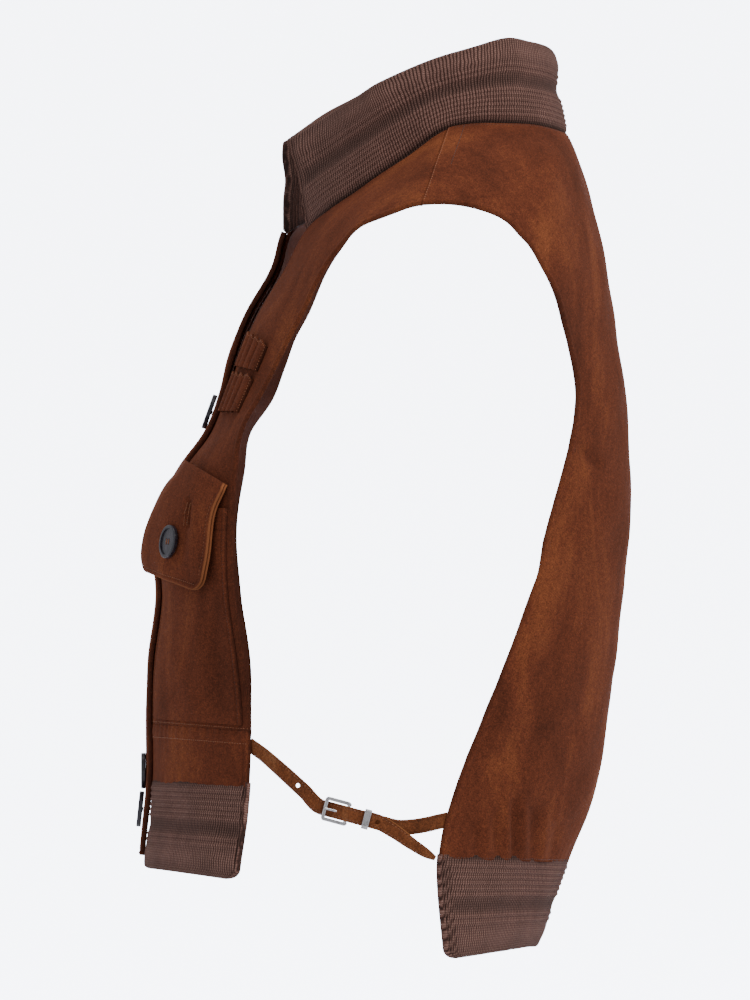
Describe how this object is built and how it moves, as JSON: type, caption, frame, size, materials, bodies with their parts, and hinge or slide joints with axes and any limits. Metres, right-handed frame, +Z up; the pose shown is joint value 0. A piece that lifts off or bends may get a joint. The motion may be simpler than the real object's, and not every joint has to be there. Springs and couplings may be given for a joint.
{
  "type": "sleeveless suede waistcoat with rib-knit collar and side straps",
  "caption": "Sleeveless open-sided suede waistcoat with rib-knit stand collar and hems, flapped chest pockets, loop strips, a button placket and buckled side straps.",
  "frame": {"origin": "middle of the neck opening, at the height where the waistcoat hangs on the wearer's neck and shoulders", "axes": "+Z up, -Y the way the wearer faces, +X the wearer's left"},
  "size_m": [0.3116, 0.317, 0.5904],
  "materials": {
    "suede": "napped brown suede",
    "strap_leather": "brown edge-stitched suede strap",
    "lining": "smooth plain-woven lining",
    "rib_knit": "doubled ribbed knit, taupe",
    "thread": "spun sewing thread",
    "button": "dark horn-like moulded button",
    "nickel": "polished bright nickel plate"
  },
  "bodies": {
    "root": {"back_lining": "lining", "back_panel": "suede", "button_stand_left": "suede", "collar_rib": "rib_knit", "front_lining_left": "lining", "front_lining_right": "lining", "front_panel_left": "suede", "front_panel_right": "suede", "hem_rib_back": "rib_knit", "hem_rib_left": "rib_knit", "hem_rib_right": "rib_knit", "loop_strip_lower_left": "suede", "loop_strip_lower_right": "suede", "loop_strip_upper_left": "suede", "loop_strip_upper_right": "suede", "placket_button_threads": "thread", "placket_buttons": "button", "placket_over_right": "suede", "pocket_left": "suede", "pocket_right": "suede", "side_strap_back_left": "strap_leather", "side_strap_back_right": "strap_leather", "side_strap_front_left": "strap_leather", "side_strap_front_right": "strap_leather", "strap_stitches_left": "thread", "strap_stitches_right": "thread", "waistband_left": "suede", "waistband_right": "suede"},
    "flap_left": {"pocket_flap_left": "suede", "flap_facing_left": "suede", "pocket_button_thread_left": "thread"},
    "flap_button_left": {"pocket_button_left": "button"},
    "buckle_left": {"buckle_frame_left": "nickel"},
    "prong_left": {"buckle_prong_left": "nickel"},
    "keeper_left": {"strap_keeper_left": "nickel"},
    "strap_tip_left": {"side_strap_tip_left": "strap_leather"},
    "flap_right": {"pocket_flap_right": "suede", "flap_facing_right": "suede", "pocket_button_thread_right": "thread"},
    "flap_button_right": {"pocket_button_right": "button"},
    "buckle_right": {"buckle_frame_right": "nickel"},
    "prong_right": {"buckle_prong_right": "nickel"},
    "keeper_right": {"strap_keeper_right": "nickel"},
    "strap_tip_right": {"side_strap_tip_right": "strap_leather"}
  },
  "joints": [
    {"name": "flap_left_lift", "type": "hinge", "parent": "root", "child": "flap_left", "pos_m": [0.0705, -0.1553, -0.1824], "axis": [-0.9409, -0.2904, 0.1742], "range_deg": [0, 115]},
    {"name": "flap_button_left_twist", "type": "hinge", "parent": "flap_left", "child": "flap_button_left", "pos_m": [0.08035, -0.16989, -0.23171], "axis": [0.4393, -0.8874, 0.1398], "range_deg": [-40, 40]},
    {"name": "buckle_left_tilt", "type": "hinge", "parent": "root", "child": "buckle_left", "pos_m": [0.151, -0.057, -0.4058], "axis": [0, 0.2588, 0.9659], "range_deg": [0, 4]},
    {"name": "prong_left_tilt", "type": "hinge", "parent": "root", "child": "prong_left", "pos_m": [0.151, -0.057, -0.4058], "axis": [0, 0.2588, 0.9659], "range_deg": [0, 4]},
    {"name": "keeper_left_slide", "type": "slide", "parent": "root", "child": "keeper_left", "axis": [0, 0.9659, -0.2588], "range_m": [-0.002, 0.0035]},
    {"name": "strap_tip_left_lift", "type": "hinge", "parent": "root", "child": "strap_tip_left", "pos_m": [0.15425, -0.03575, -0.41149], "axis": [0, -0.2588, -0.9659], "range_deg": [0, 30]},
    {"name": "flap_right_lift", "type": "hinge", "parent": "root", "child": "flap_right", "pos_m": [-0.0705, -0.1553, -0.1824], "axis": [-0.9409, 0.2904, -0.1742], "range_deg": [0, 115]},
    {"name": "flap_button_right_twist", "type": "hinge", "parent": "flap_right", "child": "flap_button_right", "pos_m": [-0.08035, -0.16989, -0.23171], "axis": [0.4393, 0.8874, -0.1398], "range_deg": [-40, 40]},
    {"name": "buckle_right_tilt", "type": "hinge", "parent": "root", "child": "buckle_right", "pos_m": [-0.151, -0.057, -0.4058], "axis": [0, -0.2588, -0.9659], "range_deg": [0, 4]},
    {"name": "prong_right_tilt", "type": "hinge", "parent": "root", "child": "prong_right", "pos_m": [-0.151, -0.057, -0.4058], "axis": [0, -0.2588, -0.9659], "range_deg": [0, 4]},
    {"name": "keeper_right_slide", "type": "slide", "parent": "root", "child": "keeper_right", "axis": [0, 0.9659, -0.2588], "range_m": [-0.002, 0.0035]},
    {"name": "strap_tip_right_lift", "type": "hinge", "parent": "root", "child": "strap_tip_right", "pos_m": [-0.15425, -0.03575, -0.41149], "axis": [0, 0.2588, 0.9659], "range_deg": [0, 30]}
  ],
  "couplings": [
    {"joint": "prong_left_tilt", "follows": "buckle_left_tilt", "ratio": 1},
    {"joint": "prong_right_tilt", "follows": "buckle_right_tilt", "ratio": 1}
  ]
}
